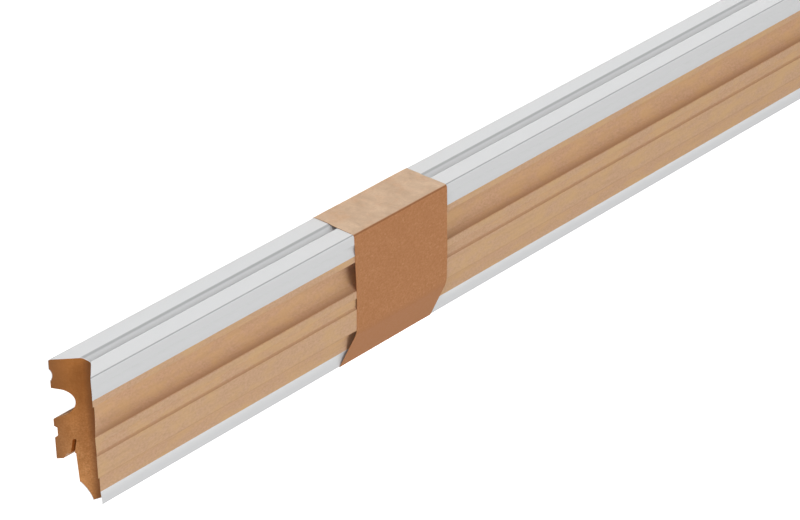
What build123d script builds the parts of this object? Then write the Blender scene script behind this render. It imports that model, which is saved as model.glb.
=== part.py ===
"""Two mitred fibreboard skirting boards packed face to face in two paper sleeves.

The pack lies flat on the back of its lower board. X runs along the boards, from the mitred
end to the square end, +Y points to the boards' top edges and +Z is up. The origin is at the
middle of the underside. A section is drawn by depth, measured from the furthest point of a
board's back to its face, and by height, measured from its bottom to its top. All in mm.
"""

import os

from build123d import *

# The board
length = 2400.0
height = 78.0
thickness = 14.4
foil_thickness = 0.3
back_corner_radius = 1.2

# The flattened nose between the top and the face
nose_chamfer = 2.8
nose_radius = 2.5

# The raw back stands a little deeper than the foil folded round its top
land_depth = 0.4

# The round notch near the top of the back, where the foil ends
upper_notch_top = 72.6
upper_notch_middle = (0.94, 69.4)
upper_notch_bottom = 66.2
foil_end_depth = land_depth - foil_thickness

# The cable groove, a C between two sloping lips
groove_top = 62.5
groove_bottom = 45.9
groove_middle = (8.1, 54.2)
upper_lip = (4.2, 61.2)
lower_lip = (4.6, 47.8)

# The shallow notch below the groove
lower_notch_top = 42.0
lower_notch_bottom = 35.7
lower_notch_depth = 1.45

# The rebate at the foot of the back, between the rear leg and the front leg
leg_bottom = 24.1
leg_width = 2.45
rebate_ceiling = 26.7
ceiling_start = 4.2
rebate_depth = 6.9
rebate_corner_radius = 0.5

# The scooped bevel that thins the front leg down to its toe
bevel_top = (7.4, 10.7)
bevel_middle = (9.75, 5.95)
toe_depth = 11.35
toe_rise = 1.2

# The saw kerf that runs up from the rebate's ceiling
kerf_width = 1.3
kerf_depth = 7.0
kerf_place = 5.85
kerf_slant = 7.5

# The paper sleeves, one near each end
paper_thickness = 0.4
sleeve_start = 179.1
sleeve_width = 70.0
sleeve_corner_radius = 0.8
sleeve_bend_radius = 10.0
lap_bottom = 28.0
lap_width = 26.0

contact_height = paper_thickness + thickness
near_end = -length / 2


def section_plane(distance):
    """The plane of a section, at a distance from the mitred end, looking along -X."""
    origin = (near_end + distance, -height / 2, paper_thickness)
    return Plane(origin=origin, x_dir=(0, 0, 1), z_dir=(-1, 0, 0))


def above(depth, level):
    """The part of a section beyond a depth and a height."""
    return Pos(depth, level) * Rectangle(thickness, height, align=(Align.MIN, Align.MIN))


def foot_line():
    """From the face round the toe, up the bevel and along the rebate to the rear leg."""
    toe = Line((thickness, toe_rise), (toe_depth, 0))
    bevel = ThreePointArc((toe_depth, 0), bevel_middle, bevel_top)
    leg = Line(bevel_top, (rebate_depth, rebate_ceiling))
    ceiling = Line((rebate_depth, rebate_ceiling), (ceiling_start, rebate_ceiling))
    step_middle = (leg_width + ceiling_start) / 2
    step = Bezier(
        (ceiling_start, rebate_ceiling),
        (step_middle, rebate_ceiling),
        (step_middle, leg_bottom),
        (leg_width, leg_bottom),
    )
    return toe + bevel + leg + ceiling + step


def back_line():
    """Up the raw back from the rear leg, with its lower notch and cable groove."""
    notch_slope = lower_notch_depth - land_depth
    lower = Polyline(
        (leg_width, leg_bottom),
        (land_depth, leg_bottom),
        (land_depth, lower_notch_bottom),
        (lower_notch_depth, lower_notch_bottom + notch_slope),
        (lower_notch_depth, lower_notch_top - notch_slope),
        (land_depth, lower_notch_top),
        (land_depth, groove_bottom),
        lower_lip,
    )
    groove = ThreePointArc(lower_lip, groove_middle, upper_lip)
    upper = Polyline(upper_lip, (land_depth, groove_top), (land_depth, upper_notch_bottom))
    return lower + groove + upper


def wrapped_line():
    """Over the foil from its end in the upper notch, round the top and down the face."""
    notch = ThreePointArc(
        (foil_end_depth, upper_notch_bottom), upper_notch_middle, (0, upper_notch_top)
    )
    edge = Line((land_depth, upper_notch_bottom), (foil_end_depth, upper_notch_bottom))
    rest = Polyline(
        (0, upper_notch_top),
        (0, height),
        (thickness - nose_chamfer, height),
        (thickness, height - nose_chamfer),
        (thickness, toe_rise),
    )
    return edge + notch + rest


def rounded(face, corners, radius):
    """The face with the corners nearest to some points rounded."""
    chosen = [face.vertices().sort_by_distance(corner)[0] for corner in corners]
    return fillet(chosen, radius)


def finished_outline():
    """Outline of a wrapped board without its kerf."""
    face = make_face((foot_line() + back_line() + wrapped_line()).edges())
    nose = [(thickness - nose_chamfer, height), (thickness, height - nose_chamfer)]
    face = rounded(face, nose, nose_radius)
    face = rounded(face, [(0, height)], back_corner_radius)
    return rounded(face, [(rebate_depth, rebate_ceiling)], rebate_corner_radius)


def wrapped_zone():
    """The part of the section where the foil covers the board's surface."""
    foot = Rectangle(thickness, bevel_top[1], align=(Align.MIN, Align.MIN))
    face_side = above(groove_middle[0] + 2, 0)
    return above(0, upper_notch_bottom) + face_side + foot


def foil_section():
    """A thin skin just inside the finished outline, where the foil covers it."""
    outline = finished_outline()
    inside = offset(outline, amount=-foil_thickness)
    return (outline - inside) & wrapped_zone()


def kerf_section():
    """A narrow slanted slot with a round inner end."""
    slot = SlotCenterToCenter(2 * kerf_depth, kerf_width)
    slanted = Pos(kerf_place, rebate_ceiling) * Rot(0, 0, 90 - kerf_slant) * slot
    return slanted & above(0, rebate_ceiling - kerf_width)


def board_section():
    """The fibreboard of one board, under its foil."""
    return finished_outline() - foil_section() - kerf_section()


def mitre_cutter():
    """The wedge taken off the near end, so that both boards are longest at their backs."""
    span = Plane(origin=(near_end, 0, paper_thickness), x_dir=(1, 0, 0), z_dir=(0, -1, 0))
    wedge = Polygon((0, 0), (thickness, thickness), (0, 2 * thickness), align=None)
    return extrude(span * wedge, amount=height, both=True)


def stock(section):
    """A section run along the whole length and mitred at the near end."""
    return extrude(section_plane(length) * section, amount=length) - mitre_cutter()


def mirrored(piece):
    """The same piece on the upper board."""
    return mirror(piece, about=Plane.XY.offset(contact_height))


def sleeve_inside():
    """The space that a sleeve encloses: flat sides, then slopes down to the two toes."""
    slope = (toe_depth - land_depth) / leg_bottom
    bend_height = leg_bottom - sleeve_bend_radius * slope / 2
    side = [
        (0, height),
        (0, upper_notch_top),
        (foil_end_depth, upper_notch_bottom),
        (land_depth, groove_top),
        (land_depth, bend_height),
        (toe_depth, 0),
    ]
    far_side = [(2 * thickness - depth, level) for depth, level in reversed(side)]
    face = Polygon(*side, *far_side, align=None)
    bends = [(land_depth, bend_height), (2 * thickness - land_depth, bend_height)]
    face = rounded(face, bends, sleeve_bend_radius)
    return rounded(face, [(0, height), (2 * thickness, height)], sleeve_corner_radius)


def sleeve(distance):
    """A paper band from a distance, with its glued lap on the lower board's hidden back."""
    inside = sleeve_inside()
    outside = offset(inside, amount=paper_thickness, kind=Kind.ARC)
    lap = Pos(-paper_thickness, lap_bottom) * Rectangle(
        paper_thickness, lap_width, align=(Align.MIN, Align.MIN)
    )
    band = outside - inside + lap
    return extrude(section_plane(distance + sleeve_width) * band, amount=sleeve_width)


def main():
    board = stock(board_section())
    foil = stock(foil_section())
    nodes = {
        "board_lower": board,
        "board_upper": mirrored(board),
        "foil_lower": foil,
        "foil_upper": mirrored(foil),
        "paper_sleeve": sleeve(sleeve_start),
        "paper_sleeve_far": sleeve(length - sleeve_start - sleeve_width),
    }
    os.makedirs("parts", exist_ok=True)
    for name, solid in nodes.items():
        export_step(solid, f"parts/{name}.step")


main()
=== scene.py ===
"""Looks of a banded pair of fibreboard skirting boards: raw milled fibreboard, white foil and two
kraft paper sleeves, seen from the photograph's viewing angle. Lengths are in metres.
"""

import math

import bmesh
import bpy
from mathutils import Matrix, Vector, noise


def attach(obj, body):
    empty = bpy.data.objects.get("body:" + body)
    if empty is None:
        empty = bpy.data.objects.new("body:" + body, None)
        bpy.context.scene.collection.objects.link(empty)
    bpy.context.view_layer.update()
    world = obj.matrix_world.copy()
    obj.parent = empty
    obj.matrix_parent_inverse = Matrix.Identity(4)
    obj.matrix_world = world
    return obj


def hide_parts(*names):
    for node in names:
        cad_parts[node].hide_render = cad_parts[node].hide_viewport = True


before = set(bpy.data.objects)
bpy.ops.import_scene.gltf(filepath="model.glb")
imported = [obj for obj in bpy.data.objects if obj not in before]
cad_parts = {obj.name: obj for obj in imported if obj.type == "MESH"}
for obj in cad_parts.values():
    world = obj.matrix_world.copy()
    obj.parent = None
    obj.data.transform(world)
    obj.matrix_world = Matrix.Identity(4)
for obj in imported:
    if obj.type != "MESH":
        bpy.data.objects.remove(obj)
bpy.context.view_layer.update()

# The photograph's camera, found from the pack's long edges
CAMERA_PLACE = (-2.10186, 0.82641, 1.04061)
CAMERA_TURN = (-26.8791, -48.5024, -2.1035)
CAMERA_LENS = 153.84
CAMERA_FARTHEST = 100

# The pack: its length, the boards' height, the planes of the foil that is folded over both backs,
# from which depths are measured, the plane where the boards touch, the mitred end and the foot
LENGTH = 2.4
HEIGHT = 0.078
LOWER_BACK = 0.0004
UPPER_BACK = 0.0292
CONTACT = (LOWER_BACK + UPPER_BACK) / 2
NEAR_END = -LENGTH / 2
FOOT = -HEIGHT / 2

# How far from the contact plane the boards' rounded noses reach
NOSE_REACH = 0.005

# The saw kerfs: heights of their walls, where those lie from the contact plane, and how far from
# half way between these limits still counts as inside
KERF_HEIGHTS = (0.0269, 0.0342)
KERF_PLACES = (0.0068, 0.0099)
KERF_INSIDE = 0.499

# Painted shade at the lower edges of the cable groove, the notch below it and the rear leg's edge:
# the lower edge's height, how far up the painted shade goes and how strong it is
RECESS_SHADES = ((0.0461, 0.0014, 1.0), (0.0358, 0.0014, 0.8), (0.0241, 0.0008, 0.4))

# The sawn ends: the heights between which painted light turns them pale, from above and from the toe,
# and the distances from the contact plane between which they turn dark, under the faces and the backs;
# under the faces this is the dense layer and painted shade under the upper board's overhang
PAINTED_LIGHT_FROM_ABOVE = (0.06, 0.02)
PAINTED_LIGHT_FROM_TOE = (-0.004, 0.012)
DENSE_FACE_AND_SHADE = (0.0032, 0.0009)
DENSE_BACK = (0.0075, 0.0145)

# Painted shade on the folds beside the top edges: how far up or down the surface turns where the
# painted shade begins, is full, ebbs and ends, and the least that it turns towards the top edges
BACK_FOLD_SHADE = (0.05, 0.3, 0.6, 0.69)
NOSE_FOLD_SHADE = (0.03, 0.16, 0.42, 0.82)
PAPER_FOLD_SHADE = (0.45, 0.65, 0.9, 0.98)
LEAST_TOPWARD = 0.1

# How far the paper turns towards the top edges where its painted sheen begins and is palest, on its
# top strip, and where its painted shade begins and is darkest, on its slope to the foot
TOP_STRIP_SHEEN = (0.8, 0.97)
FOOT_SLOPE_SHADE = (-0.1, -0.4)

# The paper sleeves: their width and where they start, the paper's thickness, the spacing of its
# mesh, its faint waves, and how its bends are rounded and shaded
SLEEVE_WIDTH = 0.07
SLEEVE_START = 0.1791
SLEEVE_STARTS = {
    "paper_sleeve": SLEEVE_START,
    "paper_sleeve_far": LENGTH - SLEEVE_START - SLEEVE_WIDTH,
}
PAPER = 0.0002
PAPER_STEP = 0.002
PAPER_COLUMNS = 28
PAPER_WAVE = 0.0001
PAPER_WAVE_LENGTH = 0.02
BEND_STEPS = 8
SHARP_ANGLE = math.radians(50)

# A sleeve's way round the pack, from its inner end to its glued lap: board, depth, height, how far
# from the corner it begins to bend, and how far its near and far edges stray from square
SLEEVE_CORNERS = (
    ("lower", 0.0002, 0.0540, 0.0, 0.0, 0.0),
    ("lower", 0.0001, 0.0228, 0.0035, 0.0, 0.0),
    ("lower", 0.0112, -0.0002, 0.0004, 0.0, 0.0),
    ("upper", 0.0112, -0.0002, 0.0004, -0.0018, -0.0026),
    ("upper", 0.0001, 0.0228, 0.0035, 0.0, -0.0018),
    ("upper", 0.0002, 0.0430, 0.004, 0.001, -0.0006),
    ("upper", 0.0002, 0.0625, 0.001, 0.0006, -0.0004),
    ("upper", -0.0001, 0.0662, 0.001, 0.0004, -0.0004),
    ("upper", -0.0002, 0.0781, 0.0016, 0.0, -0.0004),
    ("upper", 0.0104, 0.0782, 0.002, 0.0004, -0.0001),
    ("upper", 0.0144, 0.0779, 0.002, 0.0008, 0.0001),
    ("lower", 0.0104, 0.0782, 0.002, 0.0012, 0.0003),
    ("lower", -0.0002, 0.0781, 0.0018, 0.0014, 0.0007),
    ("lower", -0.0002, 0.0700, 0.004, 0.0014, 0.0007),
    ("lower", -0.0002, 0.0540, 0.004, 0.001, 0.0007),
    ("lower", -0.0002, 0.0280, 0.0, 0.001, 0.0007),
)

# Colours, linear
MDF_SIDE = (0.76, 0.49, 0.32)
MDF_SIDE_WARM = (0.76, 0.49, 0.25)
MDF_SIDE_DARK = (0.6, 0.37, 0.21)
# painted shade at the foot of the milled recesses
MDF_RECESS_SHADE = (0.5, 0.27, 0.15)
MDF_END = (0.435, 0.175, 0.05)
# painted light on the sawn ends towards the foot
MDF_END_LIT_FOOT = (0.69, 0.345, 0.14)
MDF_END_DARK = (0.33, 0.125, 0.03)
# dense layers and painted shade on the sawn ends
MDF_END_DENSE_AND_SHADE = (0.2, 0.085, 0.035)
MDF_KERF = (0.42, 0.13, 0.02)
FOIL_WHITE = (0.78, 0.785, 0.79)
# painted shade on the foil's folds
FOIL_FOLD_SHADE = (0.42, 0.425, 0.43)
KRAFT = (0.57, 0.26, 0.112)
KRAFT_DARK = (0.46, 0.19, 0.07)
KRAFT_FLECK = (0.7, 0.38, 0.19)
# painted sheen on the paper's top strip
KRAFT_TOP_SHEEN = (0.85, 0.62, 0.43)
KRAFT_TOP_SHEEN_WARM = (0.78, 0.48, 0.28)
KRAFT_TOP_SHEEN_DARK = (0.6, 0.4, 0.26)
# painted shade along the paper's top fold
KRAFT_FOLD_SHADE = (0.3, 0.12, 0.045)
FLOOR_PALE = (0.9, 0.9, 0.9)
WHITE = (1.0, 1.0, 1.0)

# Sheen of the materials, and how deep their grain lies
MDF_SPECULAR = 0.12
KRAFT_SPECULAR = 0.3
FOIL_IOR = 1.55
FLOOR_ROUGHNESS = 0.9
GRAIN_DEPTH = 0.0001

# The floor, the light that falls on the pack from all round, and what the camera sees behind it
FLOOR_SIZE = 60
WORLD_LEVEL = 0.36
BACKGROUND_LEVEL = 1

# The soft lamps, all turned to the pack's near part: place, width, depth and level
LAMP_TARGET = (-1.0, 0.0, 0.01)
LAMPS = {
    "upper_light": ((-1.5, 1.2, 2.8), 1.6, 1.2, 0.3),
    "foot_light": ((-1.5, -1.2, 2.8), 1.6, 1.2, 0.1),
    "side_light": ((-0.8, 4.0, 0.12), 4.0, 0.2, 0.15),
    "near_light": ((-4.2, -0.5, 0.6), 1.6, 0.8, 0.32),
}


def rgba(colour):
    return (*colour, 1.0)


class Nodes:
    """A node tree, with short calls for adding and joining nodes."""

    def __init__(self, owner):
        owner.use_nodes = True
        self.owner = owner
        self.tree = owner.node_tree
        self.shader = self.tree.nodes.get("Principled BSDF")

    def add(self, kind, **values):
        node = self.tree.nodes.new(kind)
        for key, value in values.items():
            setattr(node, key, value)
        return node

    def join(self, source, target):
        self.tree.links.new(source, target)

    def feed(self, socket, value):
        """Gives a socket a number, a colour or another node's output."""
        if isinstance(value, (int, float)):
            socket.default_value = value
        elif isinstance(value, tuple):
            socket.default_value = rgba(value)
        else:
            self.join(value, socket)

    def place(self, stretch):
        """Object coordinates, divided along each axis by a stretch."""
        coordinates = self.add("ShaderNodeTexCoord")
        scale = self.add("ShaderNodeVectorMath", operation="DIVIDE")
        scale.inputs[1].default_value = stretch
        self.join(coordinates.outputs["Object"], scale.inputs[0])
        return scale.outputs["Vector"]

    def noise(self, grain, detail=3.0, roughness=0.6, stretch=(1, 1, 1), distortion=0.0):
        """Noise whose features are about grain metres across."""
        node = self.add("ShaderNodeTexNoise")
        node.inputs["Scale"].default_value = 1 / grain
        node.inputs["Detail"].default_value = detail
        node.inputs["Roughness"].default_value = roughness
        node.inputs["Distortion"].default_value = distortion
        self.join(self.place(stretch), node.inputs["Vector"])
        return node.outputs["Fac"]

    def limits(self, value, low, high, start=0.0, end=1.0):
        """The value stretched so that low gives start and high gives end, and held between them."""
        node = self.add("ShaderNodeMapRange")
        self.feed(node.inputs["Value"], value)
        self.feed(node.inputs["From Min"], low)
        self.feed(node.inputs["From Max"], high)
        self.feed(node.inputs["To Min"], start)
        self.feed(node.inputs["To Max"], end)
        return node.outputs["Result"]

    def mix(self, factor, first, second):
        """Mixes two colours, each a colour or another node's output."""
        node = self.add("ShaderNodeMix", data_type="RGBA")
        self.feed(node.inputs[0], factor)
        self.feed(node.inputs[6], first)
        self.feed(node.inputs[7], second)
        return node.outputs[2]

    def tint(self, colour, other, value, low=0.0, high=1.0, least=0.0, most=1.0):
        """Mixes another colour in: least of it where a value is low, and most where it is high."""
        return self.mix(self.limits(value, low, high, least, most), colour, other)

    def math(self, operation, *values):
        node = self.add("ShaderNodeMath", operation=operation)
        for socket, value in zip(node.inputs, values):
            self.feed(socket, value)
        return node.outputs["Value"]

    def seen(self):
        """1 where the camera, a reflection or a clear material looks, and 0 for scattered light."""
        path = self.add("ShaderNodeLightPath")
        direct = self.math("MAXIMUM", path.outputs["Is Camera Ray"], path.outputs["Is Glossy Ray"])
        return self.math("MAXIMUM", direct, path.outputs["Is Transmission Ray"])

    def bump(self, height, distance, strength):
        node = self.add("ShaderNodeBump")
        self.feed(node.inputs["Height"], height)
        self.feed(node.inputs["Distance"], distance)
        self.feed(node.inputs["Strength"], strength)
        self.join(node.outputs["Normal"], self.shader.inputs["Normal"])


def normal_parts(nodes, kind="Normal"):
    """The surface direction's X, Y and Z."""
    geometry = nodes.add("ShaderNodeNewGeometry")
    parts = nodes.add("ShaderNodeSeparateXYZ")
    nodes.join(geometry.outputs[kind], parts.inputs["Vector"])
    return parts.outputs


def object_place(nodes):
    """Object coordinates' X, Y and Z."""
    coordinates = nodes.add("ShaderNodeTexCoord")
    parts = nodes.add("ShaderNodeSeparateXYZ")
    nodes.join(coordinates.outputs["Object"], parts.inputs["Vector"])
    return parts.outputs


def product(nodes, first, *others):
    for other in others:
        first = nodes.math("MULTIPLY", first, other)
    return first


def cut_end(nodes):
    """1 on the sawn ends of a board, square or mitred, and 0 along its sides."""
    lengthward = nodes.math("ABSOLUTE", normal_parts(nodes, "True Normal")["X"])
    return nodes.math("GREATER_THAN", lengthward, 0.5)


def height_share(nodes, low, high):
    """0 at a height above the boards' feet and 1 at another."""
    return nodes.limits(object_place(nodes)["Y"], FOOT + low, FOOT + high)


def from_contact(nodes):
    """Distance from the plane where the boards touch."""
    return nodes.math("ABSOLUTE", nodes.math("SUBTRACT", object_place(nodes)["Z"], CONTACT))


def fold_shade_mask(nodes, begin, full, ebb, end):
    """1 on a fold beside a top edge, between the turns where its painted shade is full and where it
    ebbs.
    """
    parts = normal_parts(nodes)
    turn = nodes.math("ABSOLUTE", parts["Z"])
    topward = nodes.math("GREATER_THAN", parts["Y"], LEAST_TOPWARD)
    return product(nodes, nodes.limits(turn, begin, full), nodes.limits(turn, end, ebb), topward)


def foil_fold_shade(nodes):
    """The foil's painted shade: grey lines on the folds to the backs, and wider on the lower board's
    nose.
    """
    nose = nodes.math("LESS_THAN", from_contact(nodes), NOSE_REACH)
    beside = nodes.math("SUBTRACT", 1.0, nose)
    upward = nodes.math("GREATER_THAN", normal_parts(nodes)["Z"], 0.0)
    nose_shade = product(nodes, fold_shade_mask(nodes, *NOSE_FOLD_SHADE), upward, nose)
    return nodes.math("ADD", nose_shade, product(nodes, fold_shade_mask(nodes, *BACK_FOLD_SHADE), beside))


def in_kerf(nodes):
    """1 on the saw kerfs' walls: between the limits both in height and from the contact plane."""
    shares = (height_share(nodes, *KERF_HEIGHTS), nodes.limits(from_contact(nodes), *KERF_PLACES))
    return product(nodes, *(nodes.math("COMPARE", share, 0.5, KERF_INSIDE) for share in shares))


def recess_shade(nodes, edge, reach, strength):
    """Painted shade: the strength at a milled form's lower edge, fading out up its wall."""
    above = nodes.math("GREATER_THAN", object_place(nodes)["Y"], FOOT + edge)
    return product(nodes, height_share(nodes, edge + reach, edge), above, strength)


def milled_colour(nodes, fibres):
    """The pale milled sides: fine fibres, warmer patches, and painted shade at the recesses' lower
    edges.
    """
    patches = nodes.noise(0.008, stretch=(2, 1, 1))
    specks = nodes.noise(0.0006, detail=2.0)
    streaks = nodes.noise(0.0022, detail=2.0, stretch=(16, 1, 1))
    colour = nodes.tint(MDF_SIDE, MDF_SIDE_DARK, fibres, 0.35, 0.7, least=0.1, most=0.75)
    colour = nodes.tint(colour, MDF_SIDE_WARM, patches, 0.42, 0.65, most=0.7)
    colour = nodes.tint(colour, MDF_SIDE_DARK, streaks, 0.5, 0.72, most=0.3)
    colour = nodes.tint(colour, MDF_SIDE_DARK, specks, 0.62, 0.75, most=0.35)
    # painted shade at the foot of the groove, the notch and the rear leg
    for edge, reach, strength in RECESS_SHADES:
        colour = nodes.mix(recess_shade(nodes, edge, reach, strength), colour, MDF_RECESS_SHADE)
    return nodes.mix(in_kerf(nodes), colour, MDF_KERF)


def sawn_colour(nodes):
    """The dark sawn ends: painted light towards the foot, dense layers under both faces, partly
    painted shade.
    """
    grain = nodes.noise(0.0009, detail=4.0)
    clouds = nodes.limits(nodes.noise(0.006, detail=2.0), 0.4, 0.65, end=0.4)
    # painted light: paler towards the foot
    foot = product(nodes, height_share(nodes, *PAINTED_LIGHT_FROM_ABOVE), height_share(nodes, *PAINTED_LIGHT_FROM_TOE))
    depth = from_contact(nodes)
    # darker by the faces and backs: dense layers, and painted shade under the upper board's overhang
    dense_and_shade = nodes.math("MAXIMUM", nodes.limits(depth, *DENSE_FACE_AND_SHADE), nodes.limits(depth, *DENSE_BACK))
    colour = nodes.mix(foot, MDF_END, MDF_END_LIT_FOOT)
    colour = nodes.mix(clouds, colour, nodes.mix(foot, MDF_END_DARK, MDF_END))
    colour = nodes.tint(colour, MDF_END_DARK, grain, 0.35, 0.7, most=0.6)
    return nodes.tint(colour, MDF_END_DENSE_AND_SHADE, dense_and_shade, most=0.75)


def fibreboard():
    """Raw fibreboard: pale milled sides with fine fibres, and darker sawn ends."""
    nodes = Nodes(bpy.data.materials.new("fibreboard"))
    fibres = nodes.noise(0.001, detail=4.0, stretch=(1.5, 1, 1))
    colour = nodes.mix(cut_end(nodes), milled_colour(nodes, fibres), sawn_colour(nodes))
    nodes.join(colour, nodes.shader.inputs["Base Color"])
    nodes.join(nodes.limits(fibres, 0.3, 0.7, start=0.8, end=0.95), nodes.shader.inputs["Roughness"])
    nodes.shader.inputs["Specular IOR Level"].default_value = MDF_SPECULAR
    nodes.bump(fibres, GRAIN_DEPTH, strength=0.5)
    return nodes.owner


def white_foil():
    """Satin white foil with a faint unevenness, and painted shade on its folds."""
    nodes = Nodes(bpy.data.materials.new("white_foil"))
    ripples = nodes.noise(0.004, detail=2.0, stretch=(4, 1, 1))
    # painted shade on the folds
    colour = nodes.mix(foil_fold_shade(nodes), FOIL_WHITE, FOIL_FOLD_SHADE)
    nodes.join(colour, nodes.shader.inputs["Base Color"])
    nodes.join(nodes.limits(ripples, 0.3, 0.7, start=0.28, end=0.36), nodes.shader.inputs["Roughness"])
    nodes.shader.inputs["IOR"].default_value = FOIL_IOR
    nodes.bump(ripples, GRAIN_DEPTH, strength=0.2)
    return nodes.owner


def paper_side_colour(nodes, fibres, blotches):
    """Brown kraft paper with fine light and dark fibres."""
    flecks = nodes.noise(0.0013, detail=2.0, stretch=(1.6, 1, 1))
    colour = nodes.tint(KRAFT, KRAFT_DARK, fibres, 0.35, 0.68)
    colour = nodes.tint(colour, KRAFT_DARK, blotches, 0.4, 0.7, most=0.3)
    return nodes.tint(colour, KRAFT_FLECK, flecks, 0.58, 0.75, most=0.4)


def paper_top_sheen(nodes, fibres, blotches):
    """The paper's top strip: a painted sheen, pale and mottled with streaks."""
    sheen_streaks = nodes.noise(0.007, stretch=(1, 1, 1.5), distortion=0.6)
    colour = nodes.tint(KRAFT_TOP_SHEEN, KRAFT_TOP_SHEEN_DARK, sheen_streaks, 0.35, 0.7, least=0.1, most=0.7)
    colour = nodes.tint(colour, KRAFT_TOP_SHEEN_WARM, blotches, 0.5, 0.7, most=0.5)
    return nodes.tint(colour, KRAFT_TOP_SHEEN_DARK, fibres, 0.4, 0.7, most=0.4)


def kraft_paper():
    """Kraft paper: brown sides, painted sheen on the top strip, painted shade on the foot slope and
    fold.
    """
    nodes = Nodes(bpy.data.materials.new("kraft_paper"))
    fibres = nodes.noise(0.0012, detail=5.0, roughness=0.75)
    blotches = nodes.noise(0.009)
    topward = normal_parts(nodes)["Y"]
    side = paper_side_colour(nodes, fibres, blotches)
    # painted sheen on the top strip
    colour = nodes.tint(side, paper_top_sheen(nodes, fibres, blotches), topward, *TOP_STRIP_SHEEN)
    # painted shade on the slope to the foot
    colour = nodes.tint(colour, KRAFT_DARK, topward, *FOOT_SLOPE_SHADE, most=0.85)
    # painted shade along the top fold
    colour = nodes.tint(colour, KRAFT_FOLD_SHADE, fold_shade_mask(nodes, *PAPER_FOLD_SHADE), most=0.8)
    nodes.join(colour, nodes.shader.inputs["Base Color"])
    nodes.join(nodes.limits(fibres, 0.3, 0.7, start=0.6, end=0.75), nodes.shader.inputs["Roughness"])
    nodes.shader.inputs["Specular IOR Level"].default_value = KRAFT_SPECULAR
    nodes.bump(fibres, GRAIN_DEPTH, strength=0.4)
    return nodes.owner


def floor_material():
    """Pale floor that shows plain white to the camera, and sends pale light back to the pack."""
    nodes = Nodes(bpy.data.materials.new("pale_floor"))
    nodes.shader.inputs["Base Color"].default_value = rgba(FLOOR_PALE)
    nodes.shader.inputs["Roughness"].default_value = FLOOR_ROUGHNESS
    glow = nodes.add("ShaderNodeEmission")
    nodes.join(nodes.seen(), glow.inputs["Strength"])
    both = nodes.add("ShaderNodeAddShader")
    nodes.join(nodes.shader.outputs[0], both.inputs[0])
    nodes.join(glow.outputs[0], both.inputs[1])
    nodes.join(both.outputs[0], nodes.tree.nodes["Material Output"].inputs["Surface"])
    return nodes.owner


def dress(node, material):
    """Gives a carried-over node its material."""
    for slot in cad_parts[node].material_slots:
        slot.material = material


def sleeve_corner(board, depth, height, near_shift, far_shift):
    """A corner of a sleeve's way: place above the floor, height, and its edges' shifts."""
    place = LOWER_BACK + depth if board == "lower" else UPPER_BACK - depth
    return Vector((place, height, near_shift, far_shift))


def toward(corner, other, distance):
    """The point at a distance from a corner on the way to another."""
    return corner.lerp(other, distance / (other.xy - corner.xy).length)


def bent(before, corner, after, reach):
    """Points that round a corner off."""
    start = toward(corner, before, reach)
    end = toward(corner, after, reach)
    shares = [step / BEND_STEPS for step in range(BEND_STEPS + 1)]
    return [start.lerp(corner, share).lerp(corner.lerp(end, share), share) for share in shares]


def sleeve_way():
    """Closely spaced points along a sleeve's way round the pack."""
    corners = [sleeve_corner(*row[:3], *row[4:]) for row in SLEEVE_CORNERS]
    points = [corners[0]]
    for index in range(1, len(corners) - 1):
        points += bent(*corners[index - 1:index + 2], SLEEVE_CORNERS[index][3])
    points.append(corners[-1])
    way = points[:1]
    for point in points[1:]:
        last = way[-1]
        count = math.ceil((point.xy - last.xy).length / PAPER_STEP)
        way += [last.lerp(point, step / count) for step in range(1, count + 1)]
    return way


def sleeve_row(mesh, point, start):
    """A row of a sleeve's vertices, from its near edge to its far edge."""
    near = NEAR_END + start + point[2]
    far = NEAR_END + start + SLEEVE_WIDTH + point[3]
    row = []
    for column in range(PAPER_COLUMNS + 1):
        place = Vector((near + (far - near) * column / PAPER_COLUMNS, FOOT + point.y, point.x))
        wave = PAPER_WAVE * noise.noise(place / PAPER_WAVE_LENGTH)
        outward = Vector((0, place.y, place.z - CONTACT)).normalized()
        row.append(mesh.verts.new(place + wave * outward))
    return row


def thicken(sheet, thickness):
    """Gives a sheet its thickness, half to each side, and smooth faces with sharp borders."""
    solidify = sheet.modifiers.new("thickness", "SOLIDIFY")
    solidify.thickness = thickness
    solidify.offset = 0
    evaluated = sheet.evaluated_get(bpy.context.evaluated_depsgraph_get())
    sheet.data = bpy.data.meshes.new_from_object(evaluated)
    sheet.modifiers.clear()
    sheet.data.shade_smooth()
    sheet.data.set_sharp_from_angle(angle=SHARP_ANGLE)


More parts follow.
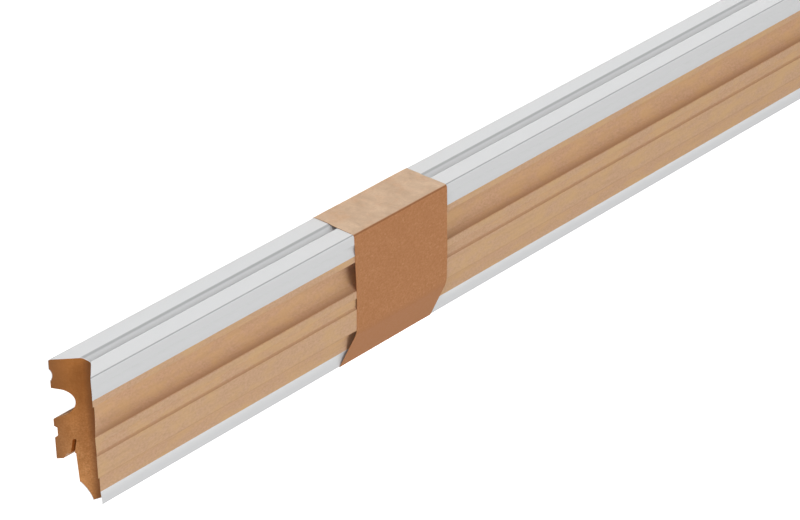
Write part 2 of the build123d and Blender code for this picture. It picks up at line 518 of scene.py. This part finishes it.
def add_sleeve(node, start, material):
    """A band of kraft paper round both boards, wound a little askew, with soft bends."""
    built = bmesh.new()
    rows = [sleeve_row(built, point, start) for point in sleeve_way()]
    for row, following in zip(rows, rows[1:]):
        for column in range(PAPER_COLUMNS):
            built.faces.new((row[column], row[column + 1], following[column + 1], following[column]))
    mesh = bpy.data.meshes.new("kraft_sheet")
    built.to_mesh(mesh)
    built.free()
    mesh.materials.append(material)
    sleeve = bpy.data.objects.new("kraft_" + node, mesh)
    bpy.context.collection.objects.link(sleeve)
    thicken(sleeve, PAPER)
    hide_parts(node)
    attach(sleeve, "root")


def add_floor():
    bpy.ops.mesh.primitive_plane_add(size=FLOOR_SIZE)
    floor = bpy.context.object
    floor.name = "floor"
    floor.data.materials.append(floor_material())


def add_lamp(name, place, width, depth, level):
    """A soft lamp, which by itself lights a face turned to it at the target to its level."""
    direction = Vector(LAMP_TARGET) - Vector(place)
    lamp = bpy.data.lights.new(name, "AREA")
    lamp.shape = "RECTANGLE"
    lamp.size = width
    lamp.size_y = depth
    lamp.energy = level * (math.pi * direction.length) ** 2
    lamp_object = bpy.data.objects.new(name, lamp)
    lamp_object.location = place
    lamp_object.rotation_euler = direction.to_track_quat("-Z", "Y").to_euler()
    bpy.context.collection.objects.link(lamp_object)


def add_world():
    """Even light from all round, with white behind the pack."""
    world = bpy.data.worlds.new("studio")
    bpy.context.scene.world = world
    nodes = Nodes(world)
    background = nodes.tree.nodes["Background"]
    background.inputs["Color"].default_value = rgba(WHITE)
    strength = nodes.limits(nodes.seen(), 0, 1, WORLD_LEVEL, BACKGROUND_LEVEL)
    nodes.join(strength, background.inputs["Strength"])


def add_camera():
    camera = bpy.data.objects.new("camera", bpy.data.cameras.new("camera"))
    camera.data.lens = CAMERA_LENS
    camera.data.clip_end = CAMERA_FARTHEST
    camera.location = CAMERA_PLACE
    camera.rotation_euler = [math.radians(angle) for angle in CAMERA_TURN]
    bpy.context.collection.objects.link(camera)
    bpy.context.scene.camera = camera


add_camera()
add_floor()
for lamp_name, settings in LAMPS.items():
    add_lamp(lamp_name, *settings)
add_world()
mdf = fibreboard()
foil = white_foil()
paper = kraft_paper()
for board in ("board_lower", "board_upper"):
    dress(board, mdf)
for skin in ("foil_lower", "foil_upper"):
    dress(skin, foil)
for band, band_start in SLEEVE_STARTS.items():
    add_sleeve(band, band_start, paper)

bpy.context.scene.view_settings.view_transform = "Standard"
